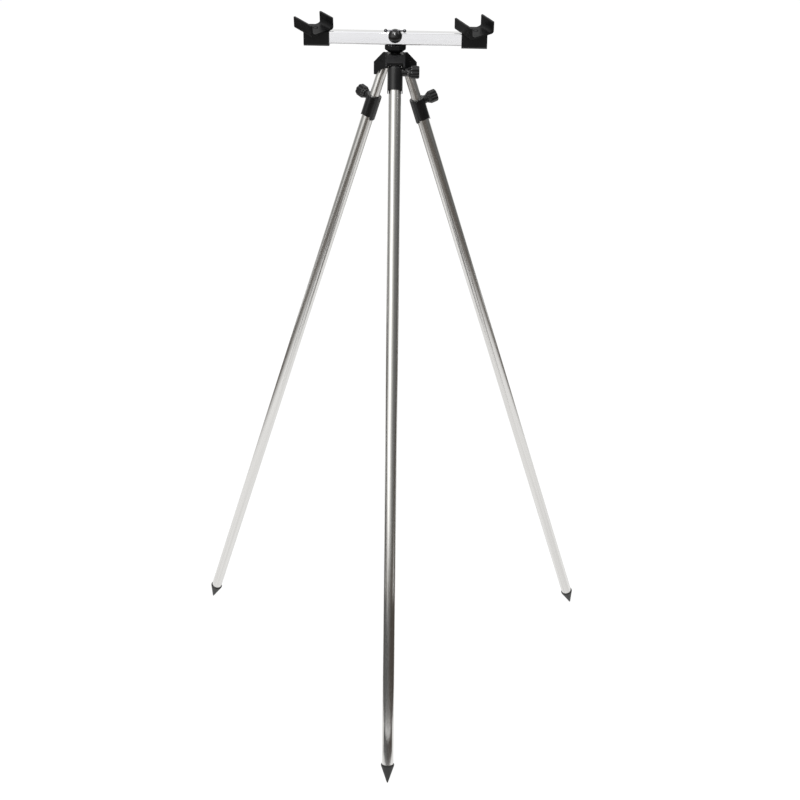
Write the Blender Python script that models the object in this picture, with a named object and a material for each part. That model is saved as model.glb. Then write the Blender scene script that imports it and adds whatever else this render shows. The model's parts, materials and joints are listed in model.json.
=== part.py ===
"""Surf rod tripod: three telescopic legs on a folding hub, a crossbar on top and two rod cups."""
import math

import bmesh
import bpy
from mathutils import Vector

MM = 0.001

# Gaps between pieces that meet, slide and swing
FIT_GAP = 0.3 * MM
SLOT_GAP = 0.3 * MM
OVERCUT = 1.0 * MM

# Leg layout: the front leg points to -Y and a spread leg leans out by the spread angle
FRONT_AZIMUTH = -90.0
LEG_SPREAD = 19.5
PIVOT_RADIUS = 21.1 * MM
FRONT_EXTENSION = 0.0 * MM
RIGHT_EXTENSION = 79.0 * MM
LEFT_EXTENSION = 72.0 * MM
TUBE_SIDES = 32
FITTING_SIDES = 24
HOLE_SIDES = 16

# Leg tubes
OUTER_TUBE_D = 25.0 * MM
OUTER_TUBE_WALL = 1.3 * MM
OUTER_TUBE_LENGTH = 1434.0 * MM
INNER_TUBE_D = 20.6 * MM
INNER_TUBE_WALL = 1.5 * MM
INNER_TUBE_LENGTH = 900.0 * MM

# Knuckle: eye across the hub's slot, neck, flange and a spigot in the inner tube
EYE_D = 11.6 * MM
KNUCKLE_NECK_D = 17.0 * MM
KNUCKLE_NECK_START = 5.0 * MM
FLANGE_D = 26.0 * MM
FLANGE_DROP = 8.7 * MM
FLANGE_THICKNESS = 2.5 * MM
SPIGOT_LENGTH = 30.0 * MM
END_PLUG_LIP = 4.0 * MM
PIN_D = 6.0 * MM

# Clamp collar on the head of each outer tube
COLLAR_D = 31.0 * MM
COLLAR_LENGTH = 51.5 * MM
COLLAR_GRIP = 20.0 * MM
COLLAR_EDGE = 0.8 * MM
CLAMP_DROP = 8.6 * MM
BOSS_D = 17.0 * MM
FRONT_BOSS_REACH = 25.5 * MM
REAR_BOSS_REACH = 19.5 * MM
NOTCH_WIDTH = 27.0 * MM
NOTCH_HEIGHT = 7.0 * MM
NOTCH_CORNER = 3.0 * MM

# Clamp screw and its fluted knob
CLAMP_SCREW_D = 6.0 * MM
LEG_KNOB_D = 24.0 * MM
LEG_KNOB_LENGTH = 22.0 * MM
LEG_KNOB_STANDOFF = 0.9 * MM
LEG_KNOB_FLUTES = 8
LEG_KNOB_FLUTE_DEPTH = 1.5 * MM
SCREW_BITE = 12.0 * MM
FRONT_KNOB_TURN = 90.0
REAR_KNOB_TURN = -12.0

# Foot spike
SPIKE_D = 28.5 * MM
SPIKE_RIM = 3.0 * MM
SPIKE_LENGTH = 42.0 * MM
SPIKE_SPIGOT = 25.0 * MM
SPIKE_TIP_RADIUS = 1.5 * MM

# Hub: one moulding with three lugs, a roof over each slot and a neck
CHEEK = 4.0 * MM
SLOT_WIDTH = 32.0 * MM
LUG_REACH = 39.0 * MM
LUG_SHOULDER = 17.0 * MM
REAR_LUG_DROP = 30.5 * MM
FRONT_LUG_DROP = 9.0 * MM
LUG_HEEL = 15.0 * MM
HUB_TOP = 16.8 * MM
ROOF_STEP = 3.7 * MM
ROOF_WALL = 2.6 * MM
ROOF_END = 33.6 * MM
SLOT_INNER = 11.5 * MM
CORE_BOTTOM = 8.0 * MM
CORE_CLEARANCE_D = 36.0 * MM
HUB_NECK_D = 19.6 * MM
HUB_NECK_TOP = 18.3 * MM

# Head bolt that holds the swivelling block to the hub
HEAD_BOLT_D = 8.0 * MM
HEAD_BOLT_ACROSS = 13.0 * MM
HEAD_BOLT_HEAD = 5.0 * MM
WASHER_D = 16.0 * MM
WASHER_THICKNESS = 1.2 * MM
HEAD_NUT_HEIGHT = 6.0 * MM
NUT_RECESS_D = 16.2 * MM

# Head block under the crossbar and the tongue behind it
BLOCK_HEIGHT = 12.4 * MM
BLOCK_TAPER = 6.0 * MM
BLOCK_WIDTH = 41.0 * MM
BLOCK_DEPTH = 37.0 * MM
BLOCK_FACET = 17.5 * MM
BLOCK_FOOT = 20.0 * MM
BLOCK_RECESS = 7.5 * MM
TONGUE_WIDTH = 24.0 * MM
TONGUE_THICKNESS = 5.2 * MM
TONGUE_DROP = 0.0 * MM
HEAD_TURN = -2.0

# Crossbar
BAR_SIZE = 25.0 * MM
BAR_WALL = 1.6 * MM
BAR_CORNER = 2.5 * MM
BAR_LENGTH = 362.0 * MM

# Bar clamp: screw, domed knob and sliding tommy bar
BAR_SCREW_D = 6.0 * MM
BAR_SCREW_RISE = 7.0 * MM
BAR_KNOB_D = 27.6 * MM
BAR_KNOB_HUB_D = 18.0 * MM
BAR_KNOB_STANDOFF = 2.5 * MM
BAR_KNOB_BAND = 11.5 * MM
BAR_KNOB_DOME = 4.0 * MM
BAR_SCREW_BITE = 8.5 * MM
BAR_NUT_ACROSS = 10.0 * MM
BAR_NUT_HEIGHT = 5.0 * MM
TOMMY_D = 3.0 * MM
TOMMY_SPAN = 37.8 * MM
TOMMY_BALL_D = 7.0 * MM
TOMMY_OFFSET = 11.2 * MM
TOMMY_FORWARD = 22.6 * MM

# Cup bases: sleeves over the ends of the crossbar with an inclined seat
BASE_SPACING = 317.0 * MM
BASE_WIDTH = 51.5 * MM
BASE_FRONT_WALL = 4.5 * MM
BASE_BACK_WALL = 3.0 * MM
BASE_BOTTOM_WALL = 3.6 * MM
BASE_CHAMFER = 4.0 * MM
SEAT_SLOPE = 16.0
SEAT_SKIN = 0.9 * MM
SEAT_FORWARD = 8.0 * MM
SEAT_OUTWARD = 2.0 * MM

# Rod cups: open troughs that swivel on the bases
LEFT_CUP_TURN = 46.0
RIGHT_CUP_TURN = 54.0
TROUGH_WIDTH = 57.0 * MM
TROUGH_HEIGHT = 25.0 * MM
TROUGH_WALL = 4.0 * MM
TROUGH_FILLET = 9.0 * MM
TROUGH_EDGE = 5.0 * MM
TROUGH_NEAR = 22.5 * MM
LONG_PLATE = 55.5 * MM
SHORT_PLATE = 39.0 * MM
FLOOR_LENGTH = 35.0 * MM
FLOOR_BLEND = 7.0 * MM
CUP_SCREW_D = 4.0 * MM
CUP_SCREW_HEAD_D = 10.0 * MM
CUP_SCREW_HEAD = 2.0 * MM
CUP_SCREW_LENGTH = 14.0 * MM

# Worked out from the sizes above
SPREAD = math.radians(LEG_SPREAD)
SLOPE = math.radians(SEAT_SLOPE)
LEG_AZIMUTHS = [FRONT_AZIMUTH, FRONT_AZIMUTH + 120, FRONT_AZIMUTH + 240]
OUTER_BORE_D = OUTER_TUBE_D - 2 * OUTER_TUBE_WALL
INNER_BORE_D = INNER_TUBE_D - 2 * INNER_TUBE_WALL
FLANGE_BOTTOM = FLANGE_DROP + FLANGE_THICKNESS
COLLAR_TOP = FLANGE_BOTTOM + FIT_GAP
OUTER_TUBE_TOP = COLLAR_TOP + COLLAR_GRIP + FIT_GAP
CLOSED_LEG = OUTER_TUBE_TOP + OUTER_TUBE_LENGTH + FIT_GAP + SPIKE_LENGTH
KNUCKLE_WIDTH = SLOT_WIDTH - 2 * SLOT_GAP
LUG_WIDTH = SLOT_WIDTH + 2 * CHEEK
BLOCK_BOTTOM = HUB_NECK_TOP + FIT_GAP
BLOCK_TOP = BLOCK_BOTTOM + BLOCK_HEIGHT
BAR_BOTTOM = BLOCK_TOP + FIT_GAP
BAR_CENTRE = BAR_BOTTOM + BAR_SIZE / 2
SOCKET_HALF = BAR_SIZE / 2 + FIT_GAP
BAR_FACE = BAR_SIZE / 2 + FIT_GAP

UPRIGHT = (math.pi / 2, 0, 0)
BACKWARD = (-math.pi / 2, 0, 0)
SIDEWAYS = (0, math.pi / 2, 0)


def clear_scene():
    for obj in list(bpy.data.objects):
        bpy.data.objects.remove(obj, do_unlink=True)


def make_material(name, colour, roughness, metallic=0.0):
    material = bpy.data.materials.new(name)
    material.use_nodes = True
    shader = material.node_tree.nodes["Principled BSDF"]
    shader.inputs["Base Color"].default_value = (*colour, 1.0)
    shader.inputs["Roughness"].default_value = roughness
    shader.inputs["Metallic"].default_value = metallic
    return material


def make_frame(name, parent, location=(0, 0, 0), rotation=(0, 0, 0)):
    """An empty that carries the pieces of one moving group."""
    frame = bpy.data.objects.new(name, None)
    bpy.context.scene.collection.objects.link(frame)
    frame.parent = parent
    frame.location = location
    frame.rotation_euler = rotation
    return frame


def make_piece(name, bm, material, parent, location=(0, 0, 0), rotation=(0, 0, 0)):
    """Turn a bmesh into a named object under its frame."""
    bmesh.ops.recalc_face_normals(bm, faces=bm.faces)
    mesh = bpy.data.meshes.new(name)
    bm.to_mesh(mesh)
    bm.free()
    mesh.materials.append(material)
    mesh.shade_smooth()
    mesh.set_sharp_from_angle(angle=math.radians(35))
    piece = bpy.data.objects.new(name, mesh)
    bpy.context.scene.collection.objects.link(piece)
    piece.parent = parent
    piece.location = location
    piece.rotation_euler = rotation
    return piece


def combine(piece, operation, tool_bm, location=(0, 0, 0), rotation=(0, 0, 0), parent=None):
    """Join a shape to a piece, or cut it out, with a live Boolean."""
    count = len(piece.modifiers)
    tool = make_piece(f"{piece.name}_tool{count}", tool_bm, piece.data.materials[0],
                      parent or piece.parent, location, rotation)
    tool.hide_render = True
    tool.display_type = "WIRE"
    modifier = piece.modifiers.new(f"shape{count}", "BOOLEAN")
    modifier.operation = operation
    modifier.solver = "EXACT"
    modifier.object = tool


def join(piece, tool_bm, **place):
    combine(piece, "UNION", tool_bm, **place)


def cut(piece, tool_bm, **place):
    combine(piece, "DIFFERENCE", tool_bm, **place)


def turned(profile, sides=TUBE_SIDES):
    """Turn a closed profile of (radius, height) points about the Z axis."""
    bm = bmesh.new()
    rings = []
    for radius, height in profile:
        if radius < 1e-9:
            rings.append([bm.verts.new((0, 0, height))])
            continue
        ring = []
        for step in range(sides):
            angle = math.tau * (step + 0.5) / sides
            ring.append(bm.verts.new((radius * math.cos(angle), radius * math.sin(angle), height)))
        rings.append(ring)
    for index, ring in enumerate(rings):
        following = rings[(index + 1) % len(rings)]
        if len(ring) == 1 and len(following) == 1:
            continue
        for step in range(sides):
            after = (step + 1) % sides
            corners = [ring[step % len(ring)], ring[after % len(ring)],
                       following[after % len(following)], following[step % len(following)]]
            bm.faces.new(list(dict.fromkeys(corners)))
    return bm


def rod(diameter, bottom, top, edge=0.0, sides=TUBE_SIDES):
    """A solid round bar on the Z axis, with chamfered ends where an edge is given."""
    radius = diameter / 2
    profile = [(0, bottom), (radius - edge, bottom)]
    if edge > 0:
        profile += [(radius, bottom + edge), (radius, top - edge)]
    profile += [(radius - edge, top), (0, top)]
    return turned(profile, sides)


def hole(diameter, bottom, top):
    """The tool for a round hole."""
    return rod(diameter, bottom, top, sides=HOLE_SIDES)


def pipe(outer_d, inner_d, bottom, top):
    """A plain tube on the Z axis."""
    return turned([(inner_d / 2, bottom), (outer_d / 2, bottom), (outer_d / 2, top), (inner_d / 2, top)])


def lofted(outlines):
    """Skin a stack of closed outlines of (x, y, z) points that have equal counts."""
    bm = bmesh.new()
    rings = [[bm.verts.new(point) for point in outline] for outline in outlines]
    bm.faces.new(rings[0])
    bm.faces.new(rings[-1])
    for lower, upper in zip(rings, rings[1:]):
        for index in range(len(lower)):
            after = (index + 1) % len(lower)
            bm.faces.new([lower[index], lower[after], upper[after], upper[index]])
    return bm


def flat(u, v, depth):
    """Outline in plan, extruded upward."""
    return (u, v, depth)


def side_on(u, v, depth):
    """Outline in the XZ plane, extruded along Y."""
    return (u, depth, v)


def end_on(u, v, depth):
    """Outline in the YZ plane, extruded along X."""
    return (depth, u, v)


def prism(outline, near, far, place):
    """Extrude a closed outline from near to far."""
    return lofted([[place(u, v, depth) for u, v in outline] for depth in (near, far)])


def box(x_range, y_range, z_range):
    """A plain block between two corners."""
    outline = [(x_range[0], y_range[0]), (x_range[1], y_range[0]),
               (x_range[1], y_range[1]), (x_range[0], y_range[1])]
    return prism(outline, z_range[0], z_range[1], flat)


def arc(centre, radius, start, end, steps):
    """Points on an arc, with angles in degrees."""
    points = []
    for step in range(steps + 1):
        angle = math.radians(start + (end - start) * step / steps)
        points.append((centre[0] + radius * math.cos(angle), centre[1] + radius * math.sin(angle)))
    return points


def rounded_square(half, radius):
    """The outline of a square with round corners."""
    points = []
    for start, side_x, side_y in ((0, 1, 1), (90, -1, 1), (180, -1, -1), (270, 1, -1)):
        corner = (side_x * (half - radius), side_y * (half - radius))
        points += arc(corner, radius, start, start + 90, 3)
    return points


def hexagon(across):
    """The outline of a hexagon by its width across flats."""
    return arc((0, 0), across / 2 / math.cos(math.pi / 6), 0, 300, 5)


def chamfered_rectangle(width, depth, facet):
    """The outline of an eight-sided block whose front facet has the given width."""
    x, y = width / 2, depth / 2
    inset_x = facet / 2
    inset_y = facet / 2 * depth / width
    return [(inset_x, -y), (x, -inset_y), (x, inset_y), (inset_x, y),
            (-inset_x, y), (-x, inset_y), (-x, -inset_y), (-inset_x, -y)]


def pivot_place(azimuth):
    turn = math.radians(azimuth)
    return (PIVOT_RADIUS * math.cos(turn), PIVOT_RADIUS * math.sin(turn), 0)


def build_hub(hub_frame, black, steel):
    """Hub moulding: three lugs, a slot in each under a sloping roof, and the neck."""
    shoulder_drop = LUG_REACH - LUG_SHOULDER
    ceiling = HUB_TOP - ROOF_STEP - ROOF_WALL * math.sqrt(2)
    inside = LUG_SHOULDER + HUB_TOP - ROOF_WALL * math.sqrt(2)
    above = HUB_TOP + 10 * MM
    below = -REAR_LUG_DROP - 10 * MM
    beyond = LUG_REACH + 10 * MM
    slot = [(SLOT_INNER, ceiling), (inside - ceiling, ceiling), (ROOF_END, inside - ROOF_END),
            (ROOF_END, above), (beyond, above), (beyond, below), (SLOT_INNER, below)]

    hub = make_piece("hub_body", rod(2 * LUG_SHOULDER, -LUG_HEEL / 2, HUB_TOP - ROOF_STEP), black, hub_frame)
    for azimuth, drop in zip(LEG_AZIMUTHS, (FRONT_LUG_DROP, REAR_LUG_DROP, REAR_LUG_DROP)):
        heel = min(LUG_HEEL, drop)
        middle = (heel + drop) / 2
        lug = [(0, HUB_TOP), (LUG_SHOULDER, HUB_TOP), (LUG_REACH, HUB_TOP - shoulder_drop),
               (LUG_REACH, -drop), (LUG_REACH - 5 * MM, -drop), (PIVOT_RADIUS + 7 * MM, -middle),
               (SLOT_INNER, -heel), (0, -heel)]
        join(hub, prism(lug, -LUG_WIDTH / 2, LUG_WIDTH / 2, side_on), rotation=(0, 0, math.radians(azimuth)))
    cut(hub, rod(CORE_CLEARANCE_D, below, -CORE_BOTTOM))
    for azimuth in LEG_AZIMUTHS:
        turn = math.radians(azimuth)
        cut(hub, prism(slot, -SLOT_WIDTH / 2, SLOT_WIDTH / 2, side_on), rotation=(0, 0, turn))
        cut(hub, box((-OVERCUT, beyond), (-SLOT_WIDTH / 2, SLOT_WIDTH / 2), (HUB_TOP - ROOF_STEP, above)),
            rotation=(0, 0, turn))
        cut(hub, hole(PIN_D + 2 * FIT_GAP, -LUG_WIDTH, LUG_WIDTH), location=pivot_place(azimuth),
            rotation=(math.pi / 2, 0, turn))
    join(hub, rod(HUB_NECK_D, HUB_TOP - ROOF_STEP - OVERCUT, HUB_NECK_TOP, 0.5 * MM))
    cut(hub, hole(HEAD_BOLT_D + 2 * FIT_GAP, -LUG_HEEL, HUB_NECK_TOP + OVERCUT))
    recess_top = HEAD_NUT_HEIGHT + FIT_GAP - CORE_BOTTOM
    cut(hub, hole(NUT_RECESS_D, -LUG_HEEL, recess_top))

    seat = BLOCK_TOP - BLOCK_RECESS + FIT_GAP
    make_piece("head_washer", pipe(WASHER_D, HEAD_BOLT_D + 2 * FIT_GAP, seat, seat + WASHER_THICKNESS),
               steel, hub_frame)
    head_seat = seat + WASHER_THICKNESS + FIT_GAP
    bolt = make_piece("head_bolt", rod(HEAD_BOLT_D, -CORE_BOTTOM, head_seat + OVERCUT, 0.6 * MM, HOLE_SIDES),
                      steel, hub_frame)
    join(bolt, prism(hexagon(HEAD_BOLT_ACROSS), head_seat, head_seat + HEAD_BOLT_HEAD, flat))
    nut_top = recess_top - FIT_GAP
    nut = make_piece("head_nut", prism(hexagon(HEAD_BOLT_ACROSS), nut_top - HEAD_NUT_HEIGHT, nut_top, flat),
                     steel, hub_frame)
    cut(nut, hole(HEAD_BOLT_D + 2 * FIT_GAP, -LUG_HEEL, LUG_HEEL))


def build_knuckle(name, leg_frame, black):
    """Eye on the pivot pin, round neck, flange and the spigot that plugs the inner tube."""
    spigot = INNER_BORE_D / 2 - FIT_GAP
    flange = FLANGE_D / 2
    neck = KNUCKLE_NECK_D / 2
    foot = -(FLANGE_BOTTOM + SPIGOT_LENGTH)
    shank = turned([(0, foot), (spigot - MM, foot), (spigot, foot + MM), (spigot, -FLANGE_BOTTOM),
                    (flange, -FLANGE_BOTTOM), (flange, -FLANGE_DROP), (neck, -FLANGE_DROP),
                    (neck, -KNUCKLE_NECK_START), (0, -KNUCKLE_NECK_START + 2 * MM)], FITTING_SIDES)
    knuckle = make_piece(f"{name}_knuckle", shank, black, leg_frame)
    eye = rod(EYE_D, -KNUCKLE_WIDTH / 2, KNUCKLE_WIDTH / 2, 0.5 * MM, FITTING_SIDES)
    join(knuckle, eye, rotation=SIDEWAYS)
    web = box((-neck, neck), (-EYE_D / 2, EYE_D / 2), (-FLANGE_DROP - OVERCUT, 0))
    join(knuckle, web)
    cut(knuckle, hole(PIN_D + 2 * FIT_GAP, -KNUCKLE_WIDTH, KNUCKLE_WIDTH), rotation=SIDEWAYS)


def build_inner_leg(name, leg_frame, aluminium, black):
    """Inner tube below the knuckle, with a guide plug in its lower end."""
    top = -(FLANGE_BOTTOM + FIT_GAP)
    bottom = top - INNER_TUBE_LENGTH
    make_piece(f"{name}_inner_tube", pipe(INNER_TUBE_D, INNER_BORE_D, bottom, top), aluminium, leg_frame)
    lip = OUTER_BORE_D / 2 - FIT_GAP
    plug = INNER_BORE_D / 2 - FIT_GAP
    seat = bottom - FIT_GAP
    profile = [(0, seat - END_PLUG_LIP), (lip - MM, seat - END_PLUG_LIP), (lip, seat - END_PLUG_LIP + MM),
               (lip, seat), (plug, seat), (plug, seat + SPIGOT_LENGTH - MM),
               (plug - MM, seat + SPIGOT_LENGTH), (0, seat + SPIGOT_LENGTH)]
    make_piece(f"{name}_inner_plug", turned(profile, HOLE_SIDES), black, leg_frame)


def build_outer_leg(name, slide_frame, aluminium, dark):
    """Outer tube and the spike in its foot."""
    top = -OUTER_TUBE_TOP
    bottom = top - OUTER_TUBE_LENGTH
    make_piece(f"{name}_outer_tube", pipe(OUTER_TUBE_D, OUTER_BORE_D, bottom, top), aluminium, slide_frame)
    seat = bottom - FIT_GAP
    plug = OUTER_BORE_D / 2 - FIT_GAP
    rim = SPIKE_D / 2
    tip_centre = seat - SPIKE_LENGTH + SPIKE_TIP_RADIUS
    tip = arc((0, tip_centre), SPIKE_TIP_RADIUS, -60, -15, 2)
    profile = [(0, tip_centre - SPIKE_TIP_RADIUS)] + tip + [
        (rim, seat - SPIKE_RIM), (rim, seat - 0.6 * MM), (rim - 0.6 * MM, seat), (plug, seat),
        (plug, seat + SPIKE_SPIGOT - MM), (plug - MM, seat + SPIKE_SPIGOT), (0, seat + SPIKE_SPIGOT)]
    make_piece(f"{name}_spike", turned(profile, FITTING_SIDES), dark, slide_frame)


def build_collar(name, slide_frame, clamp_frame, knob_turn, boss_reach, black):
    """Clamp collar: grips the inner tube above, holds the outer tube below, notched at its foot."""
    top = -COLLAR_TOP
    bottom = top - COLLAR_LENGTH
    collar = make_piece(f"{name}_collar", rod(COLLAR_D, bottom, top, COLLAR_EDGE), black, slide_frame)
    boss = rod(BOSS_D, INNER_TUBE_D / 2, boss_reach, COLLAR_EDGE, FITTING_SIDES)
    join(collar, boss, parent=clamp_frame)
    grip = INNER_TUBE_D / 2 + FIT_GAP
    socket = OUTER_TUBE_D / 2 + FIT_GAP
    shelf = top - COLLAR_GRIP
    bore = turned([(0, bottom - OVERCUT), (socket, bottom - OVERCUT), (socket, shelf), (grip, shelf),
                   (grip, top + OVERCUT), (0, top + OVERCUT)])
    cut(collar, bore)
    cut(collar, hole(CLAMP_SCREW_D + 2 * FIT_GAP, 0, boss_reach + OVERCUT), parent=clamp_frame)
    half = NOTCH_WIDTH / 2
    roof = bottom + NOTCH_HEIGHT
    notch = [(-half, bottom - OVERCUT), (half, bottom - OVERCUT)]
    notch += arc((half - NOTCH_CORNER, roof - NOTCH_CORNER), NOTCH_CORNER, 0, 90, 3)
    notch += arc((-half + NOTCH_CORNER, roof - NOTCH_CORNER), NOTCH_CORNER, 90, 180, 3)
    cut(collar, prism(notch, -COLLAR_D, COLLAR_D, side_on),
        rotation=(0, 0, math.radians(knob_turn + 90)))


def fluted_outline(share, height):
    """One level of a knob whose rim waves in rounded flutes."""
    points = []
    steps = LEG_KNOB_FLUTES * 5
    for step in range(steps):
        angle = math.tau * step / steps
        wave = 0.5 + 0.5 * math.cos(LEG_KNOB_FLUTES * angle)
        radius = share * (LEG_KNOB_D / 2 - LEG_KNOB_FLUTE_DEPTH * wave ** 2)
        points.append((radius * math.cos(angle), radius * math.sin(angle), height))
    return points


def build_leg_clamp(name, clamp_frame, boss_reach, black, steel):
    """Clamp screw that presses on the inner tube, and its fluted knob."""
    knob_seat = boss_reach + LEG_KNOB_STANDOFF
    tip = INNER_TUBE_D / 2 + FIT_GAP
    screw_end = knob_seat + SCREW_BITE
    make_piece(f"{name}_clamp_screw", rod(CLAMP_SCREW_D, tip, screw_end, 0.5 * MM, HOLE_SIDES), steel,
               clamp_frame)
    layers = [(0.0, 0.72), (0.12, 0.8), (0.3, 1.0), (0.88, 1.0), (0.96, 0.94), (1.0, 0.82)]
    outlines = [fluted_outline(width, knob_seat + share * LEG_KNOB_LENGTH) for share, width in layers]
    knob = make_piece(f"{name}_clamp_knob", lofted(outlines), black, clamp_frame)
    cut(knob, hole(CLAMP_SCREW_D + 2 * FIT_GAP, knob_seat - OVERCUT, screw_end + FIT_GAP))


def build_leg(name, azimuth, extension, knob_turn, boss_reach, hub_frame, finishes):
    """One telescopic leg: its frames stand on the fold axis, the slide axis and the knob's axis."""
    heading = math.radians(azimuth) + math.pi / 2
    pivot = pivot_place(azimuth)
    pin_frame = make_frame(f"{name}_pin_frame", hub_frame, pivot, (0, 0, heading))
    leg_frame = make_frame(f"{name}_fold_frame", hub_frame, pivot, (-SPREAD, 0, heading))
    slide_frame = make_frame(f"{name}_slide_frame", leg_frame, (0, 0, -extension))
    clamp_frame = make_frame(f"{name}_clamp_frame", slide_frame, (0, 0, -(COLLAR_TOP + CLAMP_DROP)),
                             (math.pi / 2, 0, math.radians(knob_turn)))
    make_piece(f"{name}_pivot_pin", rod(PIN_D, -LUG_WIDTH / 2, LUG_WIDTH / 2, 0.5 * MM, HOLE_SIDES),
               finishes["black"], pin_frame, rotation=SIDEWAYS)
    build_knuckle(name, leg_frame, finishes["black"])
    build_inner_leg(name, leg_frame, finishes["aluminium"], finishes["black"])
    build_outer_leg(name, slide_frame, finishes["aluminium"], finishes["dark"])
    build_collar(name, slide_frame, clamp_frame, knob_turn, boss_reach, finishes["black"])
    build_leg_clamp(name, clamp_frame, boss_reach, finishes["black"], finishes["steel"])


def build_head_block(head_frame, black, steel):
    """Eight-sided block that turns on the hub's neck, with a tongue behind the crossbar."""
    foot = chamfered_rectangle(BLOCK_FOOT, BLOCK_FOOT, BLOCK_FOOT * BLOCK_FACET / BLOCK_WIDTH)
    body = chamfered_rectangle(BLOCK_WIDTH, BLOCK_DEPTH, BLOCK_FACET)
    levels = [(foot, BLOCK_BOTTOM), (body, BLOCK_BOTTOM + BLOCK_TAPER), (body, BLOCK_TOP)]
    outlines = [[(x, y, height) for x, y in outline] for outline, height in levels]
    block = make_piece("head_block", lofted(outlines), black, head_frame)
    tongue_back = BAR_FACE + TONGUE_THICKNESS
    half = TONGUE_WIDTH / 2
    tip = BAR_BOTTOM + BAR_SIZE - TONGUE_DROP
    corner = TONGUE_WIDTH / 4
    outline = [(-half, BLOCK_TOP - OVERCUT), (half, BLOCK_TOP - OVERCUT)]
    outline += arc((half - corner, tip - corner), corner, 0, 90, 4)
    outline += arc((-half + corner, tip - corner), corner, 90, 180, 4)
    join(block, prism(outline, BAR_FACE, tongue_back, side_on))
    cut(block, hole(HEAD_BOLT_D + 2 * FIT_GAP, BLOCK_BOTTOM - OVERCUT, BLOCK_TOP))
    cut(block, rod(WASHER_D + 4 * FIT_GAP, BLOCK_TOP - BLOCK_RECESS, BLOCK_TOP + OVERCUT))
    screw_place = (0, 0, BAR_CENTRE + BAR_SCREW_RISE)
    cut(block, hole(BAR_SCREW_D + 2 * FIT_GAP, 0, 2 * BAR_SIZE), location=screw_place, rotation=BACKWARD)
    nut_face = tongue_back + FIT_GAP
    nut = make_piece("bar_clamp_nut", prism(hexagon(BAR_NUT_ACROSS), nut_face, nut_face + BAR_NUT_HEIGHT,
                                            side_on), steel, head_frame, location=screw_place)
    cut(nut, hole(BAR_SCREW_D + 2 * FIT_GAP, 0, 2 * BAR_SIZE), location=screw_place, rotation=BACKWARD)


def seat_frame_place(side):
    """Where a cup's swivel axis meets the inclined seat of its base."""
    corner = Vector((0, -SOCKET_HALF + BAR_CORNER, SOCKET_HALF - BAR_CORNER))
    normal = Vector((0, -math.sin(SLOPE), math.cos(SLOPE)))
    point_on_seat = corner + normal * (BAR_CORNER + SEAT_SKIN)
    height = point_on_seat.z + math.tan(SLOPE) * (-SEAT_FORWARD - point_on_seat.y)
    return (side * (BASE_SPACING / 2 + SEAT_OUTWARD), -SEAT_FORWARD, BAR_CENTRE + height)


def build_crossbar(head_frame, aluminium):
    """Square tube with holes for the clamp screw and for the cups' swivel screws."""
    half = BAR_LENGTH / 2
    centre = (0, 0, BAR_CENTRE)
    bar = make_piece("crossbar", prism(rounded_square(BAR_SIZE / 2, BAR_CORNER), -half, half, end_on),
                     aluminium, head_frame, location=centre)
    inner = rounded_square(BAR_SIZE / 2 - BAR_WALL, BAR_CORNER - BAR_WALL)
    cut(bar, prism(inner, -half - OVERCUT, half + OVERCUT, end_on), location=centre)
    cut(bar, hole(BAR_SCREW_D + 2 * FIT_GAP, -BAR_SIZE, BAR_SIZE),
        location=(0, 0, BAR_CENTRE + BAR_SCREW_RISE), rotation=UPRIGHT)
    for side in (-1, 1):
        cut(bar, hole(CUP_SCREW_D + 2 * FIT_GAP, -BAR_SIZE / 2, BAR_SIZE / 2),
            location=seat_frame_place(side), rotation=(SLOPE, 0, 0))


def build_bar_clamp(knob_frame, tommy_frame, black, steel):
    """Clamp screw through the bar, its domed knob and the sliding tommy bar."""
    screw = BAR_SCREW_D / 2
    knob_back = BAR_FACE
    band_start = knob_back + BAR_KNOB_STANDOFF
    band_end = band_start + BAR_KNOB_BAND
    shank_end = knob_back + BAR_SCREW_BITE
    nut_end = BAR_FACE + TONGUE_THICKNESS + FIT_GAP + BAR_NUT_HEIGHT
    make_piece("bar_clamp_screw", rod(2 * screw, -nut_end - 2 * MM, shank_end, 0.8 * MM, 24), steel,
               knob_frame, rotation=UPRIGHT)
    rim = BAR_KNOB_D / 2
    dome = [(rim * math.cos(math.radians(angle)), band_end + BAR_KNOB_DOME * math.sin(math.radians(angle)))
            for angle in (0, 18, 36, 54, 72)]
    profile = [(0, knob_back), (BAR_KNOB_HUB_D / 2, knob_back), (BAR_KNOB_HUB_D / 2, band_start - MM),
               (rim - MM, band_start), (rim, band_start + MM)] + dome + [(0, band_end + BAR_KNOB_DOME)]
    knob = make_piece("bar_clamp_knob", turned(profile), black, knob_frame, rotation=UPRIGHT)
    cut(knob, hole(BAR_SCREW_D + 2 * FIT_GAP, 0, shank_end + FIT_GAP), rotation=UPRIGHT)
    cut(knob, hole(TOMMY_D + 2 * FIT_GAP, -BAR_KNOB_D, BAR_KNOB_D), parent=tommy_frame)

    ball = TOMMY_BALL_D / 2
    stem = TOMMY_D / 2
    middle = TOMMY_SPAN / 2
    neck_angle = math.degrees(math.acos(stem / ball))
    cap = arc((0, middle), ball, 60, 0, 2) + arc((0, middle), ball, -30, -neck_angle, 1)
    lower = [(radius, -height) for radius, height in reversed(cap)]
    profile = [(0, middle + ball)] + cap + lower + [(0, -middle - ball)]
    make_piece("tommy_bar", turned(profile, HOLE_SIDES), steel, tommy_frame)


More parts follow.
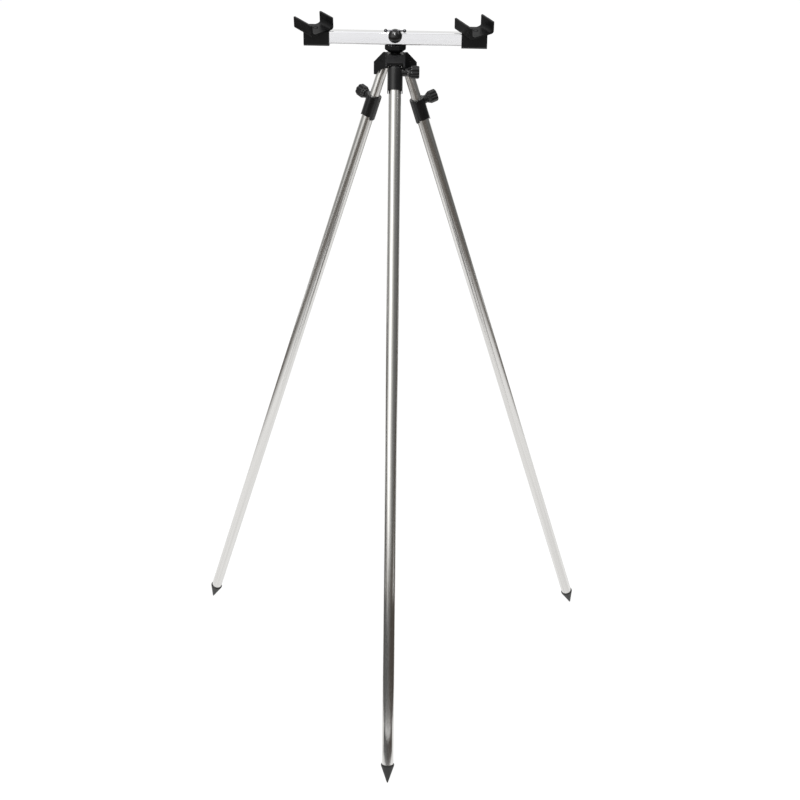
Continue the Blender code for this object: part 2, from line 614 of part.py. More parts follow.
def build_cup_base(name, side, head_frame, black):
    """Sleeve closed at its outer end, with the seat that leans toward the front."""
    front = -SOCKET_HALF - BASE_FRONT_WALL
    back = SOCKET_HALF + BASE_BACK_WALL
    bottom = -SOCKET_HALF - BASE_BOTTOM_WALL
    seat = seat_frame_place(side)
    middle = seat[2] - BAR_CENTRE + math.tan(SLOPE) * SEAT_FORWARD
    outline = [(front + BASE_CHAMFER, bottom), (back, bottom), (back, middle + math.tan(SLOPE) * back),
               (front, middle + math.tan(SLOPE) * front), (front, bottom + BASE_CHAMFER)]
    centre = (side * BASE_SPACING / 2, 0, BAR_CENTRE)
    half = BASE_WIDTH / 2
    base = make_piece(f"{name}_cup_base", prism(outline, -half, half, end_on), black, head_frame,
                      location=centre)
    end = BAR_LENGTH / 2 - BASE_SPACING / 2 + FIT_GAP
    reach = sorted((-side * (half + OVERCUT), side * end))
    cut(base, prism(rounded_square(SOCKET_HALF, BAR_CORNER), reach[0], reach[1], end_on), location=centre)
    cut(base, hole(CUP_SCREW_D + 2 * FIT_GAP, -BAR_SIZE / 2, BAR_SIZE / 2), location=seat,
        rotation=(SLOPE, 0, 0))


def build_cup(name, cup_frame, screw_frame, black):
    """Trough with one long and one short side plate, and its swivel screw."""
    wide = TROUGH_WIDTH / 2
    inner = wide - TROUGH_WALL
    floor = FIT_GAP + TROUGH_WALL
    top = FIT_GAP + TROUGH_HEIGHT
    section = [(inner, top), (wide, top)]
    section += arc((wide - TROUGH_EDGE, FIT_GAP + TROUGH_EDGE), TROUGH_EDGE, 0, -90, 4)
    section += arc((-wide + TROUGH_EDGE, FIT_GAP + TROUGH_EDGE), TROUGH_EDGE, -90, -180, 4)
    section += [(-wide, top), (-inner, top)]
    section += arc((-inner + TROUGH_FILLET, floor + TROUGH_FILLET), TROUGH_FILLET, 180, 270, 5)
    section += arc((inner - TROUGH_FILLET, floor + TROUGH_FILLET), TROUGH_FILLET, 270, 360, 5)
    cup = make_piece(f"{name}_cup", prism(section, TROUGH_NEAR - LONG_PLATE, TROUGH_NEAR, end_on), black,
                     cup_frame)
    floor_end = TROUGH_NEAR - FLOOR_LENGTH
    short_end = TROUGH_NEAR - SHORT_PLATE
    past = TROUGH_NEAR - LONG_PLATE - OVERCUT
    opening = [(floor_end, inner)]
    opening += arc((floor_end - FLOOR_BLEND, -inner + FLOOR_BLEND), FLOOR_BLEND, 0, -90, 5)
    opening += [(past, -inner), (past, wide + OVERCUT), (short_end, wide + OVERCUT), (short_end, inner)]
    cut(cup, prism(opening, -OVERCUT, top + OVERCUT, flat))
    cut(cup, hole(CUP_SCREW_D + 2 * FIT_GAP, -OVERCUT, top))
    head_seat = floor - CUP_SCREW_HEAD
    cut(cup, rod(CUP_SCREW_HEAD_D + 2 * FIT_GAP, head_seat, top, sides=24))
    head = CUP_SCREW_HEAD_D / 2
    shank = CUP_SCREW_D / 2
    seat = head_seat + FIT_GAP
    profile = [(0, seat - CUP_SCREW_LENGTH), (shank, seat - CUP_SCREW_LENGTH), (shank, seat), (head, seat),
               (head, seat + 0.5 * CUP_SCREW_HEAD), (0.7 * head, seat + CUP_SCREW_HEAD),
               (0, seat + CUP_SCREW_HEAD)]
    make_piece(f"{name}_cup_screw", turned(profile, HOLE_SIDES), black, screw_frame)


def foot_points(legs):
    """The tips of the three spikes in the hub's frame."""
    tips = []
    for _, azimuth, extension, *_ in legs:
        turn = math.radians(azimuth)
        length = CLOSED_LEG + extension
        reach = PIVOT_RADIUS + length * math.sin(SPREAD)
        tips.append(Vector((reach * math.cos(turn), reach * math.sin(turn), -length * math.cos(SPREAD))))
    return tips


def stand_on_floor(hub_frame, legs):
    """Lean the hub until the three tips are level, then put the origin under the middle of the box."""
    front, right, left = foot_points(legs)
    normal = (right - front).cross(left - front).normalized()
    hub_frame.rotation_mode = "QUATERNION"
    hub_frame.rotation_quaternion = normal.rotation_difference(Vector((0, 0, 1)))
    bpy.context.view_layer.update()
    depsgraph = bpy.context.evaluated_depsgraph_get()
    points = []
    for obj in bpy.context.scene.objects:
        if obj.type != "MESH" or obj.hide_render:
            continue
        evaluated = obj.evaluated_get(depsgraph)
        points += [evaluated.matrix_world @ vert.co for vert in evaluated.data.vertices]
    lows = [min(point[axis] for point in points) for axis in range(3)]
    highs = [max(point[axis] for point in points) for axis in range(3)]
    hub_frame.location = (-(lows[0] + highs[0]) / 2, -(lows[1] + highs[1]) / 2, -lows[2])
    bpy.context.view_layer.update()


def build_tripod():
    clear_scene()
    finishes = {
        "black": make_material("moulded_black", (0.022, 0.022, 0.023), 0.42),
        "dark": make_material("spike_charcoal", (0.05, 0.05, 0.05), 0.5),
        "aluminium": make_material("polished_aluminium", (0.80, 0.79, 0.77), 0.24, 1.0),
        "steel": make_material("plated_steel", (0.62, 0.62, 0.63), 0.28, 1.0),
    }
    hub_frame = make_frame("hub_frame", None)
    build_hub(hub_frame, finishes["black"], finishes["steel"])
    legs = (("front", LEG_AZIMUTHS[0], FRONT_EXTENSION, FRONT_KNOB_TURN, FRONT_BOSS_REACH),
            ("right", LEG_AZIMUTHS[1], RIGHT_EXTENSION, REAR_KNOB_TURN, REAR_BOSS_REACH),
            ("left", LEG_AZIMUTHS[2], LEFT_EXTENSION, REAR_KNOB_TURN, REAR_BOSS_REACH))
    for name, azimuth, extension, knob_turn, boss_reach in legs:
        build_leg(name, azimuth, extension, knob_turn, boss_reach, hub_frame, finishes)

    head_frame = make_frame("head_frame", hub_frame, rotation=(0, 0, math.radians(HEAD_TURN)))
    build_head_block(head_frame, finishes["black"], finishes["steel"])
    build_crossbar(head_frame, finishes["aluminium"])
    knob_frame = make_frame("bar_clamp_frame", head_frame, (0, 0, BAR_CENTRE + BAR_SCREW_RISE))
    tommy_frame = make_frame("tommy_frame", knob_frame, (0, -TOMMY_FORWARD, TOMMY_OFFSET), SIDEWAYS)
    build_bar_clamp(knob_frame, tommy_frame, finishes["black"], finishes["steel"])
    for name, side, cup_turn in (("left", -1, LEFT_CUP_TURN), ("right", 1, RIGHT_CUP_TURN)):
        build_cup_base(name, side, head_frame, finishes["black"])
        screw_frame = make_frame(f"{name}_cup_axis", head_frame, seat_frame_place(side), (SLOPE, 0, 0))
        cup_frame = make_frame(f"{name}_cup_frame", screw_frame, rotation=(0, 0, -math.radians(cup_turn)))
        build_cup(name, cup_frame, screw_frame, finishes["black"])
    stand_on_floor(hub_frame, legs)


build_tripod()
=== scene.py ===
import json
import math

import bmesh
import bpy
import numpy as np
from mathutils import Matrix, Vector


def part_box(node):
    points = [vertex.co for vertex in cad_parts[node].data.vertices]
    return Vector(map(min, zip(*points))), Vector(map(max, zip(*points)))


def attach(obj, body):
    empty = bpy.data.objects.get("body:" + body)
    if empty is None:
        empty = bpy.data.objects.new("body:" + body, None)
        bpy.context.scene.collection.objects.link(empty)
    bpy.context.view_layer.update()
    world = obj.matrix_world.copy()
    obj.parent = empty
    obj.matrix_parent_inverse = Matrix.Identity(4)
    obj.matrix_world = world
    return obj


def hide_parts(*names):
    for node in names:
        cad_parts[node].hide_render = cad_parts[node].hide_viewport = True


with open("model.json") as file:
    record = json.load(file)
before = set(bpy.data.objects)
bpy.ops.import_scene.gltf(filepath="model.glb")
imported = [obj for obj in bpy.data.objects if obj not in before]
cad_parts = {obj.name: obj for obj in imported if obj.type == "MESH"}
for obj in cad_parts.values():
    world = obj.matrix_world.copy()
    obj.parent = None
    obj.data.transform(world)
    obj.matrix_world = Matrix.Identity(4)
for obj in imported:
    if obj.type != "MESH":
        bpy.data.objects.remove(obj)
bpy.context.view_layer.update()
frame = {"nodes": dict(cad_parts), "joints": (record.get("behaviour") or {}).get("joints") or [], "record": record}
mm = 0.001
print("model loaded:", len(frame["nodes"]), "nodes")


# One shader socket; arithmetic on it adds Math nodes
class Signal:
    def __init__(self, tree, socket):
        self.tree = tree
        self.socket = socket

    def math(self, operation, *others, swapped=False, clamped=False):
        values = [self, *others]
        if swapped:
            values.reverse()
        node = self.tree.nodes.new("ShaderNodeMath")
        node.operation = operation
        node.use_clamp = clamped
        for slot, value in zip(node.inputs, values):
            plug(self.tree, slot, value)
        return Signal(self.tree, node.outputs[0])

    def __add__(self, other):
        return self.math("ADD", other)

    def __radd__(self, other):
        return self.math("ADD", other)

    def __sub__(self, other):
        return self.math("SUBTRACT", other)

    def __rsub__(self, other):
        return self.math("SUBTRACT", other, swapped=True)

    def __mul__(self, other):
        return self.math("MULTIPLY", other)

    def __rmul__(self, other):
        return self.math("MULTIPLY", other)

    def limited(self):
        return self.math("MULTIPLY", 1.0, clamped=True)

    # 0 below start, 1 above end, straight in between
    def ramp(self, start, end):
        return ((self - start) * (1.0 / (end - start))).limited()


def plug(tree, slot, value):
    if isinstance(value, Signal):
        tree.links.new(value.socket, slot)
    else:
        slot.default_value = value


noiseRoughness = 0.55  # how much of a noise's fine detail shows, in every finish


# The node tree of a material or of the world: add makes any node, the others are short for what repeats
class Finish:
    def __init__(self, name, world=None):
        self.material = world or bpy.data.materials.new(name)
        self.material.use_nodes = True
        self.tree = self.material.node_tree
        self.tree.nodes.clear()

    def add(self, kind, settings=None, inputs=None, output=0):
        node = self.tree.nodes.new(kind)
        for key, value in (settings or {}).items():
            if key == "stops":
                ramp = node.color_ramp
                while len(ramp.elements) < len(value):
                    ramp.elements.new(0.5)
                for stop, (place, colour) in zip(ramp.elements, value):
                    stop.position = place
                    stop.color = (*colour, 1.0)
            else:
                setattr(node, key, value)
        for key, value in (inputs or {}).items():
            plug(self.tree, node.inputs[key], value)
        return Signal(self.tree, node.outputs[output]) if node.outputs else None

    # A Mix node's colours are its inputs 6 and 7 and its output 2
    def blend(self, mask, first, second):
        node = self.tree.nodes.new("ShaderNodeMix")
        node.data_type = "RGBA"
        plug(self.tree, node.inputs["Factor"], mask)
        for slot, value in zip((node.inputs[6], node.inputs[7]), (first, second)):
            plug(self.tree, slot, value if isinstance(value, Signal) else (*value, 1.0))
        return Signal(self.tree, node.outputs[2])

    def coords(self, scale, source):
        where = self.add("ShaderNodeTexCoord", output=source)
        return self.add("ShaderNodeMapping", inputs={"Vector": where, "Scale": scale})

    # How far a point is along one axis of the UV map
    def mapped(self, axis):
        return self.add("ShaderNodeSeparateXYZ", inputs={0: self.coords((1, 1, 1), "UV")}, output=axis)

    def noise(self, scale, detail, stretch=(1, 1, 1), source="Object"):
        where = self.coords(stretch, source)
        return self.add("ShaderNodeTexNoise", inputs={"Vector": where, "Scale": scale, "Detail": detail,
                                                      "Roughness": noiseRoughness})

    def bump(self, height, depth, strength):
        return self.add("ShaderNodeBump", inputs={"Height": height, "Distance": depth, "Strength": strength})

    def glow(self, tone, strength=1.0):
        return self.add("ShaderNodeEmission", inputs={"Color": tone, "Strength": strength})

    # Masks of the rays that come straight from the camera, off a mirror and through glass
    def rayMasks(self):
        kinds = ("Is Camera Ray", "Is Glossy Ray", "Is Transmission Ray")
        return [self.add("ShaderNodeLightPath", output=kind) for kind in kinds]

    def ended(self, shader):
        self.add("ShaderNodeOutputMaterial", inputs={"Surface": shader})
        return self.material

    def surface(self, **inputs):
        names = {"colour": "Base Color", "roughness": "Roughness", "metallic": "Metallic",
                 "normal": "Normal", "specular": "Specular IOR Level"}
        values = {names[key]: value for key, value in inputs.items()}
        return self.ended(self.add("ShaderNodeBsdfPrincipled", inputs=values))


# A noise has its repeats per metre, its levels of detail, its stretch along each axis and the coordinates
# it follows, as far as they are given; its span is the part that shows. On the UV map of a turned piece
# x runs once round and y runs along the profile in metres.
nylonGrain = {"cloud": (28.0, 4.0), "grain": (1500.0, 2.0), "smear": (90.0, 3.0, (1.0, 1.0, 0.35)),
              "cloudSpan": (0.30, 0.75), "smearSpan": (0.45, 0.75), "glossChange": 0.10, "bump": 0.6}


def mouldedNylon(name, dark, light, roughness, grainDepth, shine):
    g = nylonGrain
    finish = Finish(name)
    cloud = finish.noise(*g["cloud"])  # slow change in tone over a moulding
    grain = finish.noise(*g["grain"])  # fine spark texture of the mould
    smear = finish.noise(*g["smear"])
    tone = finish.blend(cloud.ramp(*g["cloudSpan"]), dark, light)
    gloss = roughness + (cloud - 0.5) * g["glossChange"] + smear.ramp(*g["smearSpan"]) * g["glossChange"]
    return finish.surface(colour=tone, roughness=gloss, specular=shine,
                          normal=finish.bump(grain, grainDepth, g["bump"]))


tubeGrain = {"lines": (1.0, 3.0, (150.0, 5.0, 1.0), "UV"), "bands": (1.0, 2.0, (14.0, 1.2, 1.0), "UV"),
             "spots": (420.0, 3.0), "bandSpan": (0.35, 0.70), "lineSpan": (0.62, 0.85), "lineShare": 0.35,
             "lineGloss": 0.10, "spotSpan": (0.6, 0.8), "spotGloss": 0.06, "depth": 0.00002, "bump": 0.5}


def drawnTube(name, pale, dull, roughness):
    g = tubeGrain
    finish = Finish(name)
    lines = finish.noise(*g["lines"])  # die lines that run down the tube
    bands = finish.noise(*g["bands"])
    spots = finish.noise(*g["spots"])
    tone = finish.blend(bands.ramp(*g["bandSpan"]), pale, dull)
    tone = finish.blend(lines.ramp(*g["lineSpan"]) * g["lineShare"], tone, dull)
    gloss = roughness + (lines - 0.5) * g["lineGloss"] + spots.ramp(*g["spotSpan"]) * g["spotGloss"]
    return finish.surface(colour=tone, metallic=1.0, roughness=gloss,
                          normal=finish.bump(lines, g["depth"], g["bump"]))


barGrain = {"lines": (1.0, 3.0, (4.0, 900.0, 900.0)), "bands": (1.0, 2.0, (3.0, 90.0, 90.0)),
            "bandSpan": (0.35, 0.70), "lineGloss": 0.05, "depth": 0.000005, "bump": 0.3}


def extrudedBar(name, pale, dull, roughness):
    g = barGrain
    finish = Finish(name)
    lines = finish.noise(*g["lines"])  # along the bar
    bands = finish.noise(*g["bands"])
    tone = finish.blend(bands.ramp(*g["bandSpan"]), pale, dull)
    gloss = roughness + (lines - 0.5) * g["lineGloss"]
    return finish.surface(colour=tone, metallic=1.0, roughness=gloss,
                          normal=finish.bump(lines, g["depth"], g["bump"]))


platingGrain = {"haze": (160.0, 4.0), "toneSpan": (0.40, 0.75), "glossSpan": (0.3, 0.8), "hazeGloss": 0.12}


def platedSteel(name, pale, dull, roughness):
    g = platingGrain
    finish = Finish(name)
    haze = finish.noise(*g["haze"])
    tone = finish.blend(haze.ramp(*g["toneSpan"]), pale, dull)
    return finish.surface(colour=tone, metallic=1.0,
                          roughness=roughness + haze.ramp(*g["glossSpan"]) * g["hazeGloss"])


# Two tones each, then roughness, and for the mouldings the depth of the grain and the shine
finishes = {
    "black": mouldedNylon("mouldedBlack", (0.005, 0.005, 0.0055), (0.010, 0.010, 0.0105),
                          0.30, 0.00002, 0.16),
    "gloss": mouldedNylon("glossBlack", (0.004, 0.004, 0.0045), (0.008, 0.008, 0.0085),
                          0.17, 0.00001, 0.50),
    "knob": mouldedNylon("knobBlack", (0.004, 0.004, 0.0045), (0.008, 0.008, 0.0085),
                         0.13, 0.00001, 0.42),
    "spike": mouldedNylon("spikeCharcoal", (0.028, 0.028, 0.027), (0.045, 0.044, 0.042),
                          0.46, 0.00004, 0.35),
    "outer": drawnTube("outerTubeAluminium", (0.83, 0.82, 0.80), (0.70, 0.69, 0.67), 0.20),
    "inner": drawnTube("innerTubeAluminium", (0.88, 0.87, 0.85), (0.78, 0.77, 0.75), 0.22),
    "bar": extrudedBar("crossbarAluminium", (0.97, 0.97, 0.985), (0.92, 0.92, 0.95), 0.10),
    "steel": platedSteel("platedSteel", (0.70, 0.70, 0.71), (0.50, 0.50, 0.52), 0.22),
    # Tommy bar steel: its dark tones are a painted reflection, the dark surroundings that its chrome would mirror,
    # painted into the colour
    "steelWithPaintedReflection": platedSteel("steelPaintedDarkReflection", (0.075, 0.075, 0.080), (0.045, 0.045, 0.050), 0.20),
}
print("finishes made:", len(finishes))

bodies = frame["record"]["behaviour"]["bodies"]
bodyOf = {node: body for body, members in bodies.items() for node in members}
joints = {joint["name"]: joint for joint in frame["joints"]}
sharpAngles = {"turned": 35.0, "cut": 40.0, "fluted": 50.0}  # an edge that turns more is shown sharp
weld = {"skin": 1e-6, "model": 2e-6}  # points closer than this become one
softening = {"segments": 2, "edgeAngle": 30.0, "flatAngle": 0.4}  # of the pieces that keep the model's form
largestShare = 0.45  # of a side that the curve at one of its ends may take


# Put a piece in the scene: it rides on its body, stands for its node and takes its finish
def fitPiece(mesh, node, finish, kind="turned"):
    body = bodyOf[node]
    mesh.materials.clear()
    mesh.materials.append(finishes[finish])
    mesh.shade_smooth()
    mesh.set_sharp_from_angle(angle=math.radians(sharpAngles[kind]))
    piece = bpy.data.objects.new(node + "Fine", mesh)
    bpy.context.scene.collection.objects.link(piece)
    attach(piece, body)
    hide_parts(node)
    return piece


# Rows and columns of points become four-sided faces; the UV map runs across the columns and along the rows
def gridMesh(name, points, across, along):
    rows, columns = points.shape[:2]
    index = np.arange(rows * columns).reshape(rows, columns)
    corners = [index[:-1, :-1], index[:-1, 1:], index[1:, 1:], index[1:, :-1]]
    quads = np.stack(corners, axis=-1).reshape(-1, 4)
    mesh = bpy.data.meshes.new(name)
    mesh.from_pydata(points.reshape(-1, 3), [], quads.tolist())
    flatUv = np.stack(np.broadcast_arrays(across, along), axis=-1).reshape(-1, 2)
    layer = mesh.uv_layers.new(name="UVMap")
    layer.data.foreach_set("uv", flatUv[quads.reshape(-1)].reshape(-1).astype(np.float32))
    return mesh


# Faces turned outward, after points that meet at a seam or a pole become one
def closedSkin(mesh, merge=0.0):
    form = bmesh.new()
    form.from_mesh(mesh)
    if merge:
        bmesh.ops.remove_doubles(form, verts=form.verts, dist=merge)
    bmesh.ops.recalc_face_normals(form, faces=form.faces)
    form.to_mesh(mesh)
    form.free()
    return mesh


# Each inner corner of a profile becomes a short curve: a quadratic blend of the points either side of it
def easedProfile(profile, radius, steps=5):
    points = np.array(profile, float)
    corner = points[1:-1]
    back = points[:-2] - corner
    ahead = points[2:] - corner
    backLength = np.linalg.norm(back, axis=1, keepdims=True)
    aheadLength = np.linalg.norm(ahead, axis=1, keepdims=True)
    start = corner + back / backLength * np.minimum(radius, largestShare * backLength)
    end = corner + ahead / aheadLength * np.minimum(radius, largestShare * aheadLength)
    t = np.linspace(0.0, 1.0, steps)[None, :, None]
    curve = (1 - t) ** 2 * start[:, None] + 2 * t * (1 - t) * corner[:, None] + t ** 2 * end[:, None]
    return np.concatenate([points[:1], curve.reshape(-1, 2), points[-1:]])


# Turned form: x = r(s) cos a, y = r(s) sin a, z = h(s), with r changed by an optional wave of r and a
def turnedMesh(name, profile, place, steps, wave=None):
    radius, height = np.array(profile, float).T
    angle = np.linspace(0.0, 2 * math.pi, steps + 1)
    reach = radius[:, None] * np.ones_like(angle)[None, :]
    if wave is not None:
        reach = wave(reach, angle[None, :])
    local = np.stack([reach * np.cos(angle), reach * np.sin(angle), height[:, None] + 0 * reach], axis=-1)
    turn = np.array(place)
    points = local @ turn[:3, :3].T + turn[:3, 3]
    run = np.concatenate([[0.0], np.cumsum(np.hypot(np.diff(radius), np.diff(height)))])
    return closedSkin(gridMesh(name, points, angle / (2 * math.pi), run[:, None]), weld["skin"])


# Rod: its four profile corners turned about the place's z
def rodMesh(name, radius, low, high, place, steps):
    return turnedMesh(name, [(0, low), (radius, low), (radius, high), (0, high)], place, steps)


# Large faces set the direction of the shading, so flats look flat up to their rounded edges
def flattenFaces(piece):
    normals = piece.modifiers.new("flatFaces", "WEIGHTED_NORMAL")
    normals.mode = "FACE_AREA"
    normals.keep_sharp = True


# Loft: outlines with equal counts of points are skinned side by side and capped at both ends
def loftMesh(name, outlines, place):
    rings = np.array(outlines, float)
    layers, count = rings.shape[:2]
    turn = np.array(place)
    points = rings.reshape(-1, 3) @ turn[:3, :3].T + turn[:3, 3]
    index = np.arange(layers * count).reshape(layers, count)
    after = np.roll(index, -1, axis=1)
    sides = np.stack([index[:-1], after[:-1], after[1:], index[1:]], axis=-1).reshape(-1, 4).tolist()
    mesh = bpy.data.meshes.new(name)
    mesh.from_pydata(points, [], sides + [index[0].tolist(), index[-1].tolist()])
    return closedSkin(mesh)


# Prism: the outline's points (u, v) stand at (u, near, v) and (u, far, v) in the place's own axes
def prismMesh(name, outline, near, far, place):
    flat = np.array(outline, float)
    return loftMesh(name, [np.insert(flat, 1, depth, axis=1) for depth in (near, far)], place)


# Every edge that turns by more degrees than this gets a round of this width
def roundedMesh(mesh, width, segments=3, turn=20.0):
    form = bmesh.new()
    form.from_mesh(mesh)
    sharp = [edge for edge in form.edges if edge.calc_face_angle(0.0) > math.radians(turn)]
    bmesh.ops.bevel(form, geom=sharp, offset=width, segments=segments, profile=0.5, affect="EDGES")
    form.to_mesh(mesh)
    form.free()
    return mesh


# One mesh joined with each tool in turn, or cut by it
def carved(mesh, operation, *tools):
    for tool in tools:
        base = bpy.data.objects.new("carveBase", mesh)
        cutter = bpy.data.objects.new("carveTool", tool)
        for item in (base, cutter):
            bpy.context.scene.collection.objects.link(item)
        step = base.modifiers.new("carve", "BOOLEAN")
        step.operation = operation
        step.solver = "EXACT"
        step.object = cutter
        bpy.context.view_layer.update()
        depsgraph = bpy.context.evaluated_depsgraph_get()
        mesh = bpy.data.meshes.new_from_object(base.evaluated_get(depsgraph))
        for item in (base, cutter):
            bpy.data.objects.remove(item)
    return mesh


# Arc of angles in degrees about a centre
def arcPoints(centre, radius, start, end, steps):
    angle = np.radians(np.linspace(start, end, steps + 1))
    return [(centre[0] + radius * math.cos(a), centre[1] + radius * math.sin(a)) for a in angle]


# Square with round corners: four arcs, each a quarter turn
def roundSquare(half, radius, steps=8):
    points = []
    for quarter, (sideX, sideZ) in enumerate(((1, 1), (-1, 1), (-1, -1), (1, -1))):
        centre = (sideX * (half - radius), sideZ * (half - radius))
        points += arcPoints(centre, radius, 90 * quarter, 90 * quarter + 90, steps)
    return points


# Outline of a tongue or a notch: a straight foot, upright sides and a roof with round corners
def archOutline(half, foot, roof, corner, steps):
    outline = [(-half, foot), (half, foot)]
    outline += arcPoints((half - corner, roof - corner), corner, 0, 90, steps)
    outline += arcPoints((-half + corner, roof - corner), corner, 90, 180, steps)
    return outline


# A piece that keeps the model's own form: triangles of one flat become one face, edges are rounded
def softenPiece(node, finish, edge):
    mesh = frame["nodes"][node].data.copy()
    form = bmesh.new()
    form.from_mesh(mesh)
    bmesh.ops.remove_doubles(form, verts=form.verts, dist=weld["model"])
    flatAngle = math.radians(softening["flatAngle"])
    bmesh.ops.dissolve_limit(form, angle_limit=flatAngle, verts=form.verts, edges=form.edges)
    form.to_mesh(mesh)
    form.free()
    piece = fitPiece(mesh, node, finish, "cut")
    bevel = piece.modifiers.new("roundedEdges", "BEVEL")
    bevel.width = edge
    bevel.segments = softening["segments"]
    bevel.limit_method = "ANGLE"
    bevel.angle_limit = math.radians(softening["edgeAngle"])
    flattenFaces(piece)


# Place with its x across, its z upward and y = z cross x
def placeOn(origin, across, upward):
    x = Vector(across).normalized()
    z = Vector(upward).normalized()
    y = z.cross(x)
    matrix = Matrix((x, y, z)).transposed().to_4x4()
    matrix.translation = Vector(origin)
    return matrix


# Lengths down a leg run from its fold axis, and those of a clamp along its screw from the leg's axis
tubeSizes = {"outerRadius": 12.5 * mm, "outerWall": 1.3 * mm, "outerTop": 31.8 * mm,
             "outerLength": 1434 * mm, "innerRadius": 10.3 * mm, "innerWall": 1.5 * mm,
             "innerTop": 11.5 * mm, "innerLength": 900 * mm, "mouth": 0.4 * mm, "steps": 96}


# Wall of a pipe, taken round from the middle of its bore
def pipeProfile(radius, wall, top, length, mouth):
    inner = radius - wall
    middle = -top - length / 2
    corners = [(inner, middle), (inner, -top), (radius, -top), (radius, -top - length),
               (inner, -top - length), (inner, middle)]
    return easedProfile(corners, mouth)


collarSizes = {"radius": 15.5 * mm, "top": 11.5 * mm, "length": 51.5 * mm, "grip": 20 * mm,
               "gripBore": 10.6 * mm, "socket": 12.8 * mm, "bossRadius": 8.6 * mm, "bossStart": 10.3 * mm,
               "stand": 0.9 * mm, "screwHole": 3.3 * mm, "edge": 0.9 * mm, "notchWidth": 27 * mm,
               "notchHeight": 7 * mm, "notchCorner": 3 * mm, "past": 2 * mm, "steps": 96, "holeSteps": 48,
               "cornerSteps": 6}
knobSizes = {"seat": {"front": 26.4 * mm, "right": 20.4 * mm, "left": 20.4 * mm}, "length": 22.6 * mm,
             "radius": 13 * mm, "flutes": 8, "fluteDepth": 1.7 * mm, "bore": 3.3 * mm,
             "boreDepth": 12.3 * mm, "edge": 1.2 * mm, "edgeSteps": 6, "steps": 128,
             "layers": [(0.0, 0.72), (0.12, 0.8), (0.3, 1.0), (0.88, 1.0), (0.97, 0.93), (1.0, 0.80)]}


# Collar: a turned sleeve and its boss, bored in two steps, drilled for the screw and notched at its foot
def makeCollar(name, slidePlace, clampPlace, notchPlace):
    s = collarSizes
    top, bottom = -s["top"], -(s["top"] + s["length"])
    shelf = top - s["grip"]
    wall = [(0, bottom), (s["radius"], bottom), (s["radius"], top), (0, top)]
    body = turnedMesh(name + "Collar", easedProfile(wall, s["edge"]), slidePlace, s["steps"])
    reach = knobSizes["seat"][name] - s["stand"]
    boss = [(0, s["bossStart"]), (s["bossRadius"], s["bossStart"]), (s["bossRadius"], reach), (0, reach)]
    boss = turnedMesh(name + "Boss", easedProfile(boss, s["edge"]), clampPlace, s["steps"])
    bore = [(0, bottom - s["past"]), (s["socket"], bottom - s["past"]), (s["socket"], shelf),
            (s["gripBore"], shelf), (s["gripBore"], top + s["past"]), (0, top + s["past"])]
    bore = turnedMesh(name + "Bore", bore, slidePlace, s["steps"])
    drill = rodMesh(name + "Drill", s["screwHole"], 0, reach + s["past"], clampPlace, s["holeSteps"])
    outline = archOutline(s["notchWidth"] / 2, bottom - s["past"], bottom + s["notchHeight"],
                          s["notchCorner"], s["cornerSteps"])
    notch = prismMesh(name + "Notch", outline, -2 * s["radius"], 2 * s["radius"], notchPlace)
    mesh = carved(carved(body, "UNION", boss), "DIFFERENCE", bore, drill, notch)
    mesh.name = name + "Collar"
    flattenFaces(fitPiece(mesh, name + "_collar", "gloss", "cut"))


spikeSizes = {"gap": 0.3 * mm, "radius": 14.25 * mm, "rim": 3.0 * mm, "length": 42 * mm, "spigot": 25 * mm,
              "plug": 10.9 * mm, "tip": 1.3 * mm, "tipRise": 0.7, "edge": 0.8 * mm, "steps": 64}


# Spike: a cone on a rim under the outer tube, with a spigot up its bore
def makeSpike(name, slidePlace):
    s = spikeSizes
    seat = -(tubeSizes["outerTop"] + tubeSizes["outerLength"] + s["gap"])
    corners = [(0, seat - s["length"]), (s["tip"], seat - s["length"] + s["tipRise"] * s["tip"]),
               (s["radius"], seat - s["rim"]), (s["radius"], seat), (s["plug"], seat),
               (s["plug"], seat + s["spigot"]), (0, seat + s["spigot"])]
    spike = turnedMesh(name + "Spike", easedProfile(corners, s["edge"]), slidePlace, s["steps"])
    fitPiece(spike, name + "_spike", "spike")


# Knob: each radius r dips in n rounded flutes, r - depth wave^2 (r - bore) / (R - bore), where
# wave = (1 + cos n a) / 2; its layers are shares of the length and of the radius
def makeKnob(name, clampPlace):
    s = knobSizes
    seat = s["seat"][name]
    corners = [(s["bore"], seat + s["boreDepth"]), (s["bore"], seat)]
    corners += [(share * s["radius"], seat + rise * s["length"]) for rise, share in s["layers"]]
    corners += [(0.0, seat + s["length"])]
    profile = easedProfile(corners, s["edge"], s["edgeSteps"])
    profile = np.concatenate([[(0.0, seat + s["boreDepth"])], profile])

    def flute(reach, angle):
        dip = s["fluteDepth"] * (0.5 + 0.5 * np.cos(s["flutes"] * angle)) ** 2
        return reach - dip * np.clip((reach - s["bore"]) / (s["radius"] - s["bore"]), 0.0, 1.0)

    knob = turnedMesh(name + "Knob", profile, clampPlace, s["steps"], flute)
    fitPiece(knob, name + "_clamp_knob", "knob", "fluted")


# Finish and width in millimetres of the rounded edges, for what keeps the model's form
legEdges = {"_knuckle": ("black", 0.35), "_clamp_screw": ("steel", 0.2), "_pivot_pin": ("black", 0.2)}
softEdges = {"hub_body": ("black", 0.7), "left_cup_base": ("black", 0.9), "right_cup_base": ("black", 0.9),
             "left_cup": ("black", 0.6), "right_cup": ("black", 0.6), "bar_clamp_screw": ("steel", 0.2),
             "bar_clamp_nut": ("steel", 0.4), "head_bolt": ("steel", 0.4), "head_nut": ("steel", 0.4),
             "head_washer": ("steel", 0.2), "left_cup_screw": ("black", 0.2),
             "right_cup_screw": ("black", 0.2)}


